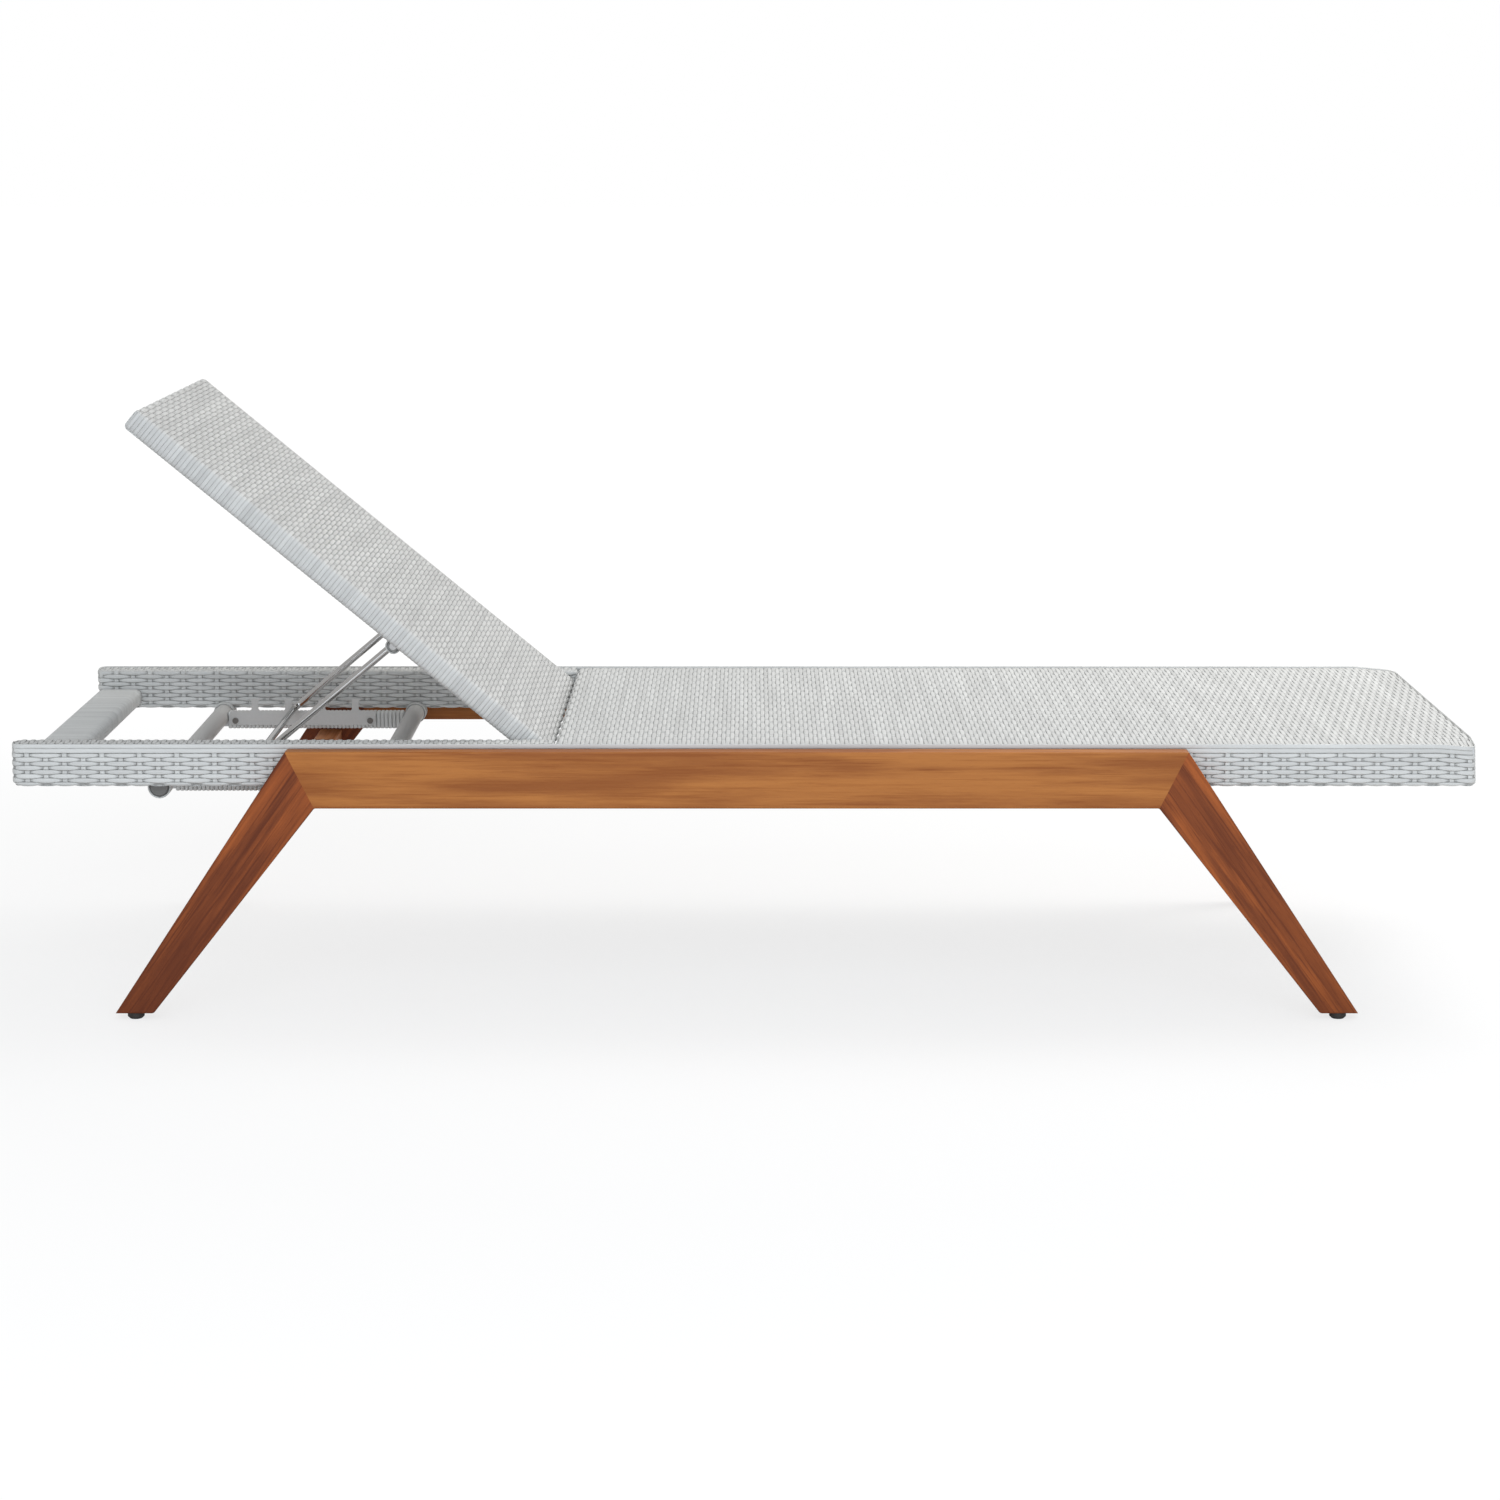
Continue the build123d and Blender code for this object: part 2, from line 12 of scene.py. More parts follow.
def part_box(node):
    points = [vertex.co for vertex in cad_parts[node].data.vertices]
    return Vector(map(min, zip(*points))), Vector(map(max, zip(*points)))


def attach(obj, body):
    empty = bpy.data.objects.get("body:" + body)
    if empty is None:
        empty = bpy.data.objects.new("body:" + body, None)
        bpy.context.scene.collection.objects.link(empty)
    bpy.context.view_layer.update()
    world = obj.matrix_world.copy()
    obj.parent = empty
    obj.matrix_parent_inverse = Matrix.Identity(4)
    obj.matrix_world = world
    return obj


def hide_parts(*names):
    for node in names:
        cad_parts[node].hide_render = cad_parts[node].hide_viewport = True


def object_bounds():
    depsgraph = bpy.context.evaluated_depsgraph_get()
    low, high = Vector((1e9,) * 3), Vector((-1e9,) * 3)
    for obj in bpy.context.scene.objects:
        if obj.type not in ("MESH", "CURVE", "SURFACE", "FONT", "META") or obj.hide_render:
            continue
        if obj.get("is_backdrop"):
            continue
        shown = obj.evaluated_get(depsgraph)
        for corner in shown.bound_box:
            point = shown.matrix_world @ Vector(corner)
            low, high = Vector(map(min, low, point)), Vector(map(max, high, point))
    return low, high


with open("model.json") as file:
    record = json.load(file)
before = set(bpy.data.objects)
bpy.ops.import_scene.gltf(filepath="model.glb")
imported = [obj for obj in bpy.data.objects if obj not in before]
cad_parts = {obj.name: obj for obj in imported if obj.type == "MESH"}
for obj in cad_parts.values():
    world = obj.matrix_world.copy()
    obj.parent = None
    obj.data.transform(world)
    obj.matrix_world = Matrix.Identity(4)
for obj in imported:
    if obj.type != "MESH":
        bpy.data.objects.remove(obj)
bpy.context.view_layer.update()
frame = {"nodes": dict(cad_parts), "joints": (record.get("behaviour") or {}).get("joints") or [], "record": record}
nodes = frame["nodes"]
X, Y, Z = Vector((1, 0, 0)), Vector((0, 1, 0)), Vector((0, 0, 1))
SIDES = {"left": 1, "right": -1}

# Rows of a weave: how far apart they lie, their width as a share of that, how much a strand widens and
# rises over a stake, how high it lies past the last stake, and how far it is drawn to its neighbour there
Weft = namedtuple("Weft", "pitch fill swell lift calm pair")
FLAT = Weft(0.0060, 1.16, 0.04, 0.0006, 0.4, 0.0)
# The seat's strands lie low past the last stake, and that low beat also darkens them there as painted shade
SEAT = Weft(0.0060, 1.16, 0.04, 0.0006, -0.6, 0.0011)
RAISED = Weft(0.0058, 1.12, 0.22, 0.0010, 0.0, 0.0)
STRAND_THICKNESS = 0.0013
WEAVE_DEPTH = 0.0016
CALM_RUN = 0.008
PAIR_RUN = 0.026
RINGS_PER_FLOAT = 4

# Stakes, and strands wound side by side
STAKE_GAP = 0.0256
STAKE_WIDTH = 0.0085
STAKE_THICKNESS = 0.0011
STAKE_STEP = 0.006
SEAT_STAKE_STEP = 0.010
WOUND_FILL = 1.03
WOUND_THICKNESS = 0.0022
WOUND_STEP = 0.004
WOUND_DEPTH = 0.00104

# Strand lanes before they are laid: sides of a strand, and the way from one lane to the next
STRAND_SIDES = 6
LANE = 4

# Rounded corners of a path, and how much of a profile's turned-in end its corner takes up
CORNER_STEPS = 8
EASED_SHARE = 0.98

# Insides of the woven bars, dark as painted shade between the strands: how far in they lie, how far below the top,
# and their eased edges
CORE_DEPTH = 0.0036
CORE_LOW = 0.003
CORE_EASE = 0.003

# Places read from the frame
rail_low, rail_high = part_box("side_wrap_left")
foot_low, foot_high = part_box("foot_end_wrap")
head_low, head_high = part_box("seat_head_wrap")
bar_low, bar_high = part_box("head_bar_wrap")
edge_low, edge_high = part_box("back_edge_wrap_left")
tube_head, tube_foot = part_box("rack_tube_head"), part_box("rack_tube_foot")
joints = {joint["name"]: joint for joint in frame["joints"]}
hinge = Vector(joints["backrest_hinge"]["pos_m"])
prop_pivot = Vector(joints["prop_swing"]["pos_m"])

# The backrest's tilt at rest and its sizes along and square to the panel, from the hinge axis
BACK_TILT = radians(39.8)
BACK_TAIL = 0.018
BACK_LENGTH = 0.712
BACK_HALF = 0.016
BACK_TUBE = 0.030
BACK_SHEET = 0.006
PANEL_S = Vector((-cos(BACK_TILT), 0, sin(BACK_TILT)))
PANEL_U = Vector((sin(BACK_TILT), 0, cos(BACK_TILT)))


class Path:
    """A flat run of straight stretches with rounded corners, measured along its length."""

    def __init__(self, corners, radius):
        corners = [Vector(corner) for corner in corners]
        spots, normals = [corners[0]], []
        for before, corner, after in zip(corners, corners[1:], corners[2:]):
            inward, onward = (corner - before).normalized(), (after - corner).normalized()
            left = Vector((-inward.y, inward.x))
            turn = atan2(inward.x * onward.y - inward.y * onward.x, inward.dot(onward))
            start = corner - inward * radius * tan(abs(turn) / 2)
            if not normals:
                normals.append(left)
            for step in range(CORNER_STEPS + 1):
                angle = abs(turn) * step / CORNER_STEPS
                bend = sin(angle) * inward + (1 - cos(angle)) * (left if turn > 0 else -left)
                spots.append(start + radius * bend)
                normals.append(Matrix.Rotation(turn * step / CORNER_STEPS, 2) @ left)
        last = (corners[-1] - corners[-2]).normalized()
        normals = normals or [Vector((-last.y, last.x))]
        spots.append(corners[-1])
        normals.append(Vector((-last.y, last.x)))
        self.spots, self.normals = np.array(spots), np.array(normals)
        gaps = np.linalg.norm(np.diff(self.spots, axis=0), axis=1)
        self.measure = np.concatenate([[0], np.cumsum(gaps)])
        self.length = self.measure[-1]

    def at(self, along):
        """Places and outward normals at distances along the path."""
        columns = np.hstack([self.spots, self.normals]).T
        place = np.stack([np.interp(along, self.measure, column) for column in columns], axis=1)
        return place[:, :2], place[:, 2:]


class Skin:
    """A surface that a weave lies on: a profile carried along a plan path, both of them Paths.

    The plan lies in the plane of two directions, and the profile gives how far the surface stands out
    from the plan and its place in the third direction. A shape moves the finished points.
    """

    def __init__(self, plan, profile, first=X, second=Y, third=Z, origin=Vector(), shape=None):
        self.plan, self.profile, self.shape = plan, profile, shape
        self.axes = [np.array(axis) for axis in (first, second, third)]
        self.origin = np.array(origin)

    def points(self, along, across, lift):
        """Points at distances along the plan and along the profile, lifted off the surface."""
        spot, normal = self.plan.at(along)
        stand, facing = self.profile.at(across)
        out = stand[:, 0] + lift * facing[:, 0]
        up = stand[:, 1] + lift * facing[:, 1]
        first, second, third = self.axes
        places = (
            self.origin
            + np.outer(spot[:, 0] + normal[:, 0] * out, first)
            + np.outer(spot[:, 1] + normal[:, 1] * out, second)
            + np.outer(up, third)
        )
        return self.shape(places) if self.shape else places


def level(start, stop):
    """A straight profile that runs down from one place to another."""
    return Path([(0, start), (0, stop)], 0)


def eased(start, stop, radius):
    """A profile that runs down from start to stop and turns in at both ends."""
    return Path([(-radius, start), (0, start), (0, stop), (-radius, stop)], radius * EASED_SHARE)


def strand_lanes(count, rings):
    """Flat strands side by side, in unit sizes: lanes along X, rings along Z."""
    bm = bmesh.new()
    bmesh.ops.create_circle(bm, segments=STRAND_SIDES, radius=1)
    bmesh.ops.rotate(bm, verts=bm.verts, matrix=Matrix.Rotation(pi / 2, 3, "Z"))
    still = {"cent": (0, 0, 0), "axis": (0, 0, 1), "angle": 0}
    bmesh.ops.spin(bm, geom=bm.edges[:], dvec=(0, 0, 1), steps=rings - 1, **still)
    ends = [edge for edge in bm.edges if edge.is_boundary]
    bmesh.ops.holes_fill(bm, edges=ends, sides=STRAND_SIDES)
    if count > 1:
        geom = bm.verts[:] + bm.edges[:] + bm.faces[:]
        bmesh.ops.spin(bm, geom=geom, dvec=(LANE, 0, 0), steps=count - 1, use_duplicate=True, **still)
    return bm


def lay(
    skin, count, width, thickness, along_plan, step, pitch, start=0.0, wave=None, weft=FLAT, proud=0.0
):
    """Lay strands on a skin, along its plan or along its profile, and give them as a mesh.

    The first strand lies at the start and the others a pitch apart, with a ring of points at every step.
    """
    length = skin.plan.length if along_plan else skin.profile.length
    rings = max(2, ceil(length / step) + 1)
    bm = strand_lanes(count, rings)
    mesh = bpy.data.meshes.new("strands")
    bm.to_mesh(mesh)
    bm.free()
    spots = np.empty(len(mesh.vertices) * 3)
    mesh.vertices.foreach_get("co", spots)
    side, up, ring = spots.reshape(-1, 3).T
    lane = np.round(side / LANE)
    side = side - lane * LANE
    along = ring * length / (rings - 1)
    beat, pairing = wave(along, lane) if wave else np.zeros((2, len(along)))
    across = start + (lane + 0.5) * pitch + side * width / 2 * (1 + weft.swell * beat) + pairing
    lift = up * thickness / 2 / sin(pi / 3) + proud + weft.lift * beat
    points = skin.points(along, across, lift) if along_plan else skin.points(across, along, lift)
    mesh.vertices.foreach_set("co", points.ravel())
    marks = mesh.attributes.new("strand", "FLOAT_VECTOR", "POINT")
    marks.data.foreach_set("vector", np.stack([along, lane, side], axis=1).ravel())
    beats = mesh.attributes.new("beat", "FLOAT", "POINT")
    beats.data.foreach_set("value", beat)
    return mesh


def plain_wave(gap, weft, start=-inf, stop=inf):
    """Over one stake and under the next, each strand half a turn from its neighbours.

    Past the first and last stakes a strand lies level, and drawn to one neighbour.
    """
    first = max(start, 0)

    def wave(along, lane):
        beat = np.sin(np.cos(pi * ((along - first) / gap - 0.5 - lane))) / sin(1)
        past = np.maximum(start - along, along - stop)
        calm = np.clip(past / CALM_RUN + 0.5, 0, 1)
        drawn = np.clip(past / PAIR_RUN, 0, 1) ** 2
        return beat + (weft.calm - beat) * calm, weft.pair * drawn * (1 - 2 * (lane % 2))

    return wave


def weave(skin, along_plan, weft=FLAT, margin=0.0):
    """A plain weave over a whole skin: rows one way and stakes the other, with no stakes in the margins."""
    across = skin.profile.length if along_plan else skin.plan.length
    length = skin.plan.length if along_plan else skin.profile.length
    count = max(1, round(across / weft.pitch))
    pitch = across / count
    stakes = max(1, round((length - 2 * margin) / STAKE_GAP))
    gap = (length - 2 * margin) / stakes
    wave = plain_wave(gap, weft, margin, length - margin) if margin else plain_wave(gap, weft)
    width, step = pitch * weft.fill, gap / RINGS_PER_FLOAT
    rows = lay(skin, count, width, STRAND_THICKNESS, along_plan, step, pitch, wave=wave, weft=weft)
    posts = lay(skin, stakes, STAKE_WIDTH, STAKE_THICKNESS, not along_plan, STAKE_STEP, gap, margin)
    return [rows, posts]


def wrapping(skin):
    """Strands wound round a bar, side by side."""
    count = max(1, round(skin.profile.length / FLAT.pitch))
    pitch = skin.profile.length / count
    return [lay(skin, count, pitch * WOUND_FILL, WOUND_THICKNESS, True, WOUND_STEP, pitch)]


def block(low, high, matrix=Matrix(), shape=None):
    """The inside of a woven bar, dark as painted shade: a box with eased edges."""
    bm = bmesh.new()
    bmesh.ops.create_cube(bm, size=1)
    bmesh.ops.scale(bm, vec=high - low, verts=bm.verts)
    bmesh.ops.translate(bm, vec=(low + high) / 2, verts=bm.verts)
    bmesh.ops.bevel(
        bm, geom=bm.edges, offset=CORE_EASE, affect="EDGES", segments=2, profile=0.5, material=-1
    )
    bmesh.ops.transform(bm, matrix=matrix, verts=bm.verts)
    if shape:
        for vert, place in zip(bm.verts, shape(np.array([vert.co for vert in bm.verts]))):
            vert.co = place
    mesh = bpy.data.meshes.new("core")
    bm.to_mesh(mesh)
    bm.free()
    return mesh


def piece(name, meshes, body, finish, replaced=()):
    """Join meshes into one smooth piece that rides on a body and stands for CAD nodes."""
    bm = bmesh.new()
    for mesh in meshes:
        bm.from_mesh(mesh)
        bpy.data.meshes.remove(mesh)
    bmesh.ops.recalc_face_normals(bm, faces=bm.faces)
    for face in bm.faces:
        face.smooth = True
    joined = bpy.data.meshes.new(name)
    bm.to_mesh(joined)
    bm.free()
    joined.materials.append(finish)
    made = bpy.data.objects.new(name, joined)
    bpy.context.scene.collection.objects.link(made)
    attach(made, body)
    if replaced:
        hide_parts(*replaced)


class Value:
    """A number that varies over a surface: sums and products of values add Math nodes."""

    def __init__(self, finish, socket):
        self.finish, self.socket = finish, socket

    def math(self, operation, *terms):
        return self.finish.node("Math", {"operation": operation}, dict(enumerate(terms)))

    def __add__(self, other):
        return self.math("ADD", self, other)

    def __sub__(self, other):
        return self.math("SUBTRACT", self, other)

    def __rsub__(self, other):
        return self.math("SUBTRACT", other, self)

    def __mul__(self, other):
        return self.math("MULTIPLY", self, other)

    __radd__ = __add__
    __rmul__ = __mul__


class Finish:
    """One material: its node tree and its shader."""

    def __init__(self, name):
        self.material = bpy.data.materials.new(name)
        self.material.use_nodes = True
        self.tree = self.material.node_tree
        self.shader = self.tree.nodes["Principled BSDF"]

    def feed(self, socket, value):
        """Link a Value to a socket, or set the socket to a constant."""
        if isinstance(value, Value):
            self.tree.links.new(value.socket, socket)
        else:
            socket.default_value = value

    def node(self, kind, settings, inputs, output=0):
        """A node of a kind, with its settings, then its inputs; gives one of its outputs."""
        made = self.tree.nodes.new("ShaderNode" + kind)
        for name, value in settings.items():
            setattr(made, name, value)
        for name, value in inputs.items():
            self.feed(made.inputs[name], value)
        return Value(self, made.outputs[output])

    def set(self, **inputs):
        """Feed the shader: base_color for Base Color and so on."""
        for name, value in inputs.items():
            self.feed(self.shader.inputs[name.replace("_", " ").title()], value)

    def mix(self, factor, first, second):
        """A colour between two colours."""
        settings = {"data_type": "RGBA", "clamp_factor": True}
        return self.node("Mix", settings, {0: factor, 6: first, 7: second}, 2)

    def band(self, value, low, high, start=0.0, stop=1.0):
        """Map a value from one range to another, held at its ends."""
        inputs = {"Value": value, "From Min": low, "From Max": high, "To Min": start, "To Max": stop}
        return self.node("MapRange", {"clamp": True}, inputs)

    def vector(self, operation, first, second):
        """A sum or product of two vectors, term by term."""
        return self.node("VectorMath", {"operation": operation}, {0: first, 1: second})

    def place(self, scale=(1, 1, 1), turn=(0, 0, 0)):
        """Object coordinates, turned and then stretched."""
        spot = self.node("TexCoord", {}, {}, "Object")
        spot = self.node("Mapping", {}, {"Vector": spot, "Rotation": turn})
        return self.vector("MULTIPLY", spot, scale)

    def noise(self, spot, scale, detail=2.0, roughness=0.5):
        inputs = {"Vector": spot, "Scale": scale, "Detail": detail, "Roughness": roughness}
        return self.node("TexNoise", {}, inputs)

    def bump(self, height, distance, strength):
        inputs = {"Height": height, "Distance": distance, "Strength": strength}
        self.set(normal=self.node("Bump", {}, inputs))


def shade(red, green, blue):
    return (red, green, blue, 1)


def wicker(name, light, dark, shadow, crease_and_edge_shade):
    """Flat strands of weatherproof wicker: fine lines along each strand, and no two strands quite alike.

    Painted shade darkens a strand where it dips under a stake, as strong as shadow says, and along its edges,
    where the bump sinks too.
    """
    finish = Finish(name)
    strand = finish.node("Attribute", {"attribute_name": "strand"}, {}, "Vector")
    along, lane, across = [finish.node("SeparateXYZ", {}, {0: strand}, axis) for axis in "XYZ"]
    beat = finish.node("Attribute", {"attribute_name": "beat"}, {}, "Fac")
    own = finish.node("CombineXYZ", {}, {0: along * 3, 1: lane * 7.31, 2: 0.0})
    lines = finish.node("CombineXYZ", {}, {0: along * 25, 1: lane * 3.7, 2: across * 4})
    tone = finish.noise(own, 1.0, 3.0)
    streak = finish.noise(lines, 1.0, 3.0, 0.7)
    edge = finish.band(across * across, 0.35, 1.0)
    painted_dip_shade = finish.band(beat, -0.98, -0.5, 1.0, 0.0)
    # Painted shade: darker in a strand's dips under the stakes and along its edges, beside its own tone and lines
    shading = tone * 0.6 + streak * 0.4 - edge * 0.2 * crease_and_edge_shade - painted_dip_shade * shadow
    colour = finish.mix(finish.band(shading, 0.12, 0.72), dark, light)
    finish.set(base_color=colour, roughness=finish.band(streak, 0.3, 0.7, 0.42, 0.62))
    finish.bump(streak - edge * crease_and_edge_shade, 0.0004, 0.6)
    return finish.material


def wicker_core():
    """The inside between the strands, coloured dark as painted shade."""
    finish = Finish("wicker_inside")
    patch = finish.noise(finish.place(), 60.0)
    colour = finish.mix(patch, shade(0.28, 0.28, 0.275), shade(0.36, 0.36, 0.35))
    finish.set(base_color=colour, roughness=0.8)
    return finish.material


def teak(name, light, dark, turn=(0, 0, 0), shift=0.0, streak=0.42):
    """Oiled teak: long wavering figure, thin dark lines and pores along the grain, a few small knots."""
    finish = Finish(name)
    spot = finish.vector("ADD", finish.place((1, 1, 1), turn), (shift, shift, shift))

    def grain(along, across):
        return finish.vector("MULTIPLY", spot, (along, across, across))

    sway = finish.noise(grain(2.2, 9), 1.0, 3.0)
    figure = finish.noise(grain(3.0, 52), 1.0, 5.0, 0.62)
    lines = finish.noise(grain(6, 260), 1.0, 3.0, 0.6)
    pores = finish.noise(grain(60, 900), 1.0, 2.0)
    turns = figure * 9.0 + sway * 14.0
    rings = turns.math("SINE", turns)
    cells = finish.node("TexVoronoi", {}, {"Vector": grain(3.1, 13), "Scale": 1.0}, "Distance")
    knot = finish.band(cells, 0.035, 0.11, 1.0, 0.0)
    tone = finish.band(figure * 0.75 + sway * 0.35 + rings * 0.07, 0.38, 0.74)
    dark_lines = finish.band(lines, 0.52, 0.72) * streak
    tone = tone - dark_lines - finish.band(pores, 0.6, 0.72) * 0.18 - knot * 0.6
    colour = finish.mix(tone, dark, light)
    finish.set(base_color=colour, roughness=finish.band(lines, 0.3, 0.7, 0.42, 0.6))
    finish.shader.inputs["Specular IOR Level"].default_value = 0.25
    finish.bump(tone * 0.6 - finish.band(pores, 0.55, 0.72) * 0.5, 0.0003, 0.5)
    return finish.material


def metal(name, light, dark, metallic, rough, stretch, grain_depth):
    """Metal with a fine lay along one direction and cloudy marks from handling."""
    finish = Finish(name)
    lay_marks = finish.noise(finish.place(stretch), 1.0, 3.0)
    cloud = finish.noise(finish.place(), 14.0, 3.0)
    marks = lay_marks * 0.5 + cloud * 0.5
    smooth, dull = rough
    roughness = finish.band(marks, 0.3, 0.7, smooth, dull)
    finish.set(base_color=finish.mix(marks, dark, light), roughness=roughness, metallic=metallic)
    finish.bump(lay_marks, grain_depth, 0.4)
    return finish.material


def plastic(name, light, dark, rough):
    """Moulded plastic with a faint grain and scuffs."""
    finish = Finish(name)
    grain = finish.noise(finish.place(), 900.0)
    scuff = finish.noise(finish.place((40, 40, 260)), 1.0, 4.0)
    colour = finish.mix(scuff, dark, light)
    finish.set(base_color=colour, roughness=finish.band(scuff, 0.3, 0.7, rough, rough + 0.2))
    finish.bump(grain, 0.0001, 0.3)
    return finish.material


# The last two numbers set the painted shade in the strands' dips and along their edges
wicker_light = wicker("wicker", shade(0.70, 0.705, 0.69), shade(0.40, 0.40, 0.39), 0.42, 0.4)
wicker_back = wicker("wicker_back", shade(0.67, 0.67, 0.655), shade(0.34, 0.34, 0.335), 0.8, 0.1)
wicker_inside = wicker_core()

# Camera, as the photograph was taken
CAMERA_PLACE = (0.0072, -4.8534, 1.2241)
CAMERA_DOWN = radians(10.667)
CAMERA_LENS = 81.19
CAMERA_SENSOR = 36
camera = bpy.data.objects.new("camera", bpy.data.cameras.new("camera"))
camera.data.lens = CAMERA_LENS
camera.data.sensor_width = CAMERA_SENSOR
camera.location = CAMERA_PLACE
camera.rotation_euler = (pi / 2 - CAMERA_DOWN, 0, 0)
bpy.context.scene.collection.objects.link(camera)
bpy.context.scene.camera = camera

# Side rails and foot end: rows that run round the whole frame, below a smooth edging
CORNER_ROUND = 0.0125
END_LAP = 0.016
RAIL_GAP = 0.001
EDGING_RISE = 0.0003
EDGING_TOP = rail_high.z + EDGING_RISE
EDGING_ROWS = 2
EDGING_PITCH = 0.0066
EDGING_FILL = 1.17
EDGING_STEP = 0.008
EDGING_PROUD = 0.0004
EDGING_BOTTOM = EDGING_TOP - EDGING_ROWS * EDGING_PITCH
UNDER_DEPTH = 0.0003
UNDER_Z = rail_low.z + UNDER_DEPTH
BOTTOM_TURN = 0.009
BOTTOM_ROUND = 0.004


def frame_plan(depth):
    """The frame's outline from above, from one rail's head end round the foot to the other's."""
    head, foot = rail_low.x + depth, rail_high.x - depth
    lap, outer = rail_low.y + END_LAP, rail_high.y - depth
    corners = [(head, lap), (head, outer), (foot, outer)]
    corners += [(x, -y) for x, y in reversed(corners)]
    return Path(corners, CORNER_ROUND - depth)


def inner_plan(depth, side):
    """Along the inside of one rail beside the backrest and round its head end to the lap."""
    face_y, head = side * (rail_low.y + depth), rail_low.x + depth
    corners = [(head_low.x - RAIL_GAP, face_y), (head, face_y), (head, side * (rail_low.y + END_LAP))]
    return Path(corners if side > 0 else corners[::-1], CORNER_ROUND - depth)


def rail_profile(top):
    """Down a rail's side, round its lower edge and a little way under it."""
    return Path([(0, top), (0, UNDER_Z), (-BOTTOM_TURN, UNDER_Z)], BOTTOM_ROUND)


# How far round the two foot corners the weave is drawn, and how far in and down
CORNER_REACH = 0.055
CORNER_IN = 0.003
CORNER_DROP = 0.005


def soft_corners(places):
    """Draw the two foot corners down and in, as the weave pulls tight round them."""
    x, y, z = places.T
    run = np.clip((x - rail_high.x) / CORNER_REACH + 1, 0, 1)
    out = np.clip((abs(y) - rail_high.y) / CORNER_REACH + 1, 0, 1)
    draw = run * out * np.clip((z - rail_low.z) / (rail_high.z - rail_low.z), 0, 1)
    drawn = np.stack([CORNER_IN * draw, CORNER_IN * draw * np.sign(y), CORNER_DROP * draw], axis=1)
    return places - drawn


outer_skin = Skin(frame_plan(WEAVE_DEPTH), rail_profile(EDGING_BOTTOM), shape=soft_corners)
edging_skin = Skin(frame_plan(WEAVE_DEPTH), level(EDGING_TOP, EDGING_BOTTOM), shape=soft_corners)
edging_width = EDGING_PITCH * EDGING_FILL
edging = lay(
    edging_skin, EDGING_ROWS, edging_width, STRAND_THICKNESS, True, EDGING_STEP, EDGING_PITCH,
    proud=EDGING_PROUD,
)
rail_rows = weave(outer_skin, True, RAISED)
inner_top = EDGING_BOTTOM + EDGING_ROWS * RAISED.pitch
for side in SIDES.values():
    rail_rows += weave(Skin(inner_plan(WEAVE_DEPTH, side), rail_profile(inner_top)), True, RAISED)
rail_wraps = ["side_wrap_left", "side_wrap_right"]
piece("rail_weave", rail_rows + [edging], "base", wicker_light, rail_wraps)

# Inside of the frame below the seat, and the rails' and the foot end's undersides
INNER_DROP = 0.008
INNER_ROUND = 0.003
UNDER_INSET = 0.006
FOOT_UNDER_LAP = 0.004
inner_y, inner_foot = rail_low.y + WEAVE_DEPTH, foot_low.x + WEAVE_DEPTH
inner_corners = [(head_high.x, -inner_y), (inner_foot, -inner_y)]
inner_corners += [(x, -y) for x, y in reversed(inner_corners)]
inner_skin = Skin(Path(inner_corners, INNER_ROUND), rail_profile(rail_high.z - INNER_DROP))
under_skins = []
for side in SIDES.values():
    near, far = sorted((side * (rail_low.y + BOTTOM_TURN), side * (rail_high.y - BOTTOM_TURN)))
    plan = Path([(far, UNDER_Z), (near, UNDER_Z)], 0)
    under_skins.append(Skin(plan, level(rail_high.x - UNDER_INSET, rail_low.x + UNDER_INSET), Y, Z, X))
foot_plan = Path([(foot_high.x - BOTTOM_TURN, UNDER_Z), (foot_low.x + BOTTOM_TURN, UNDER_Z)], 0)
foot_reach = rail_low.y + FOOT_UNDER_LAP
under_skins.append(Skin(foot_plan, level(foot_reach, -foot_reach), X, Z, Y))
inner_rows = weave(inner_skin, True, RAISED)
under_rows = [mesh for skin in under_skins for mesh in weave(skin, False, RAISED)]
piece("inner_rail_weave", inner_rows + under_rows, "base", wicker_light, ["foot_end_wrap"])

# Tops of the rails beside the backrest, and the seat: strands from side to side, tucked behind the edging
TUCK = 0.0042
TUCK_LENGTH = 0.012
TOP_ROUND = 0.0035
TOP_GAP = 0.0005
TOP_EASE = 0.0055
SLOPE_RUN = 0.024
SLOPE_DROP = 0.0010
INNER_TUCK = 0.0026
SEAT_GAP = 0.0020
TOP_DEPTH = 0.0008
top_z = rail_high.z - TOP_DEPTH
tuck_y = rail_high.y - TUCK


def down_edge(side):
    """The way over one side of the top, from the flat to behind the edging, in the YZ plane."""
    slope_z = top_z - SLOPE_DROP
    tucked = (side * tuck_y, slope_z - TUCK_LENGTH)
    return [(side * (tuck_y - SLOPE_RUN), top_z), (side * tuck_y, slope_z), tucked]


seat_plan = Path(down_edge(-1)[::-1] + down_edge(1), TOP_ROUND)
seat_profile = eased(rail_high.x - WEAVE_DEPTH, head_low.x + SEAT_GAP, TOP_EASE)
seat_skin = Skin(seat_plan, seat_profile, Y, Z, X, shape=soft_corners)
seat_margin = SLOPE_RUN + TUCK_LENGTH
seat_rows = round(seat_profile.length / SEAT.pitch)
seat_pitch = seat_profile.length / seat_rows
seat_width = seat_pitch * SEAT.fill
seat_woven = seat_plan.length - 2 * seat_margin
seat_stakes = round(seat_woven / STAKE_GAP)
seat_gap = seat_woven / seat_stakes
seat_step = seat_gap / RINGS_PER_FLOAT
seat_wave = plain_wave(seat_gap, SEAT, seat_margin, seat_margin + seat_woven)
seat_posts = lay(
    seat_skin, seat_stakes, STAKE_WIDTH, STAKE_THICKNESS, False, SEAT_STAKE_STEP, seat_gap, seat_margin
)

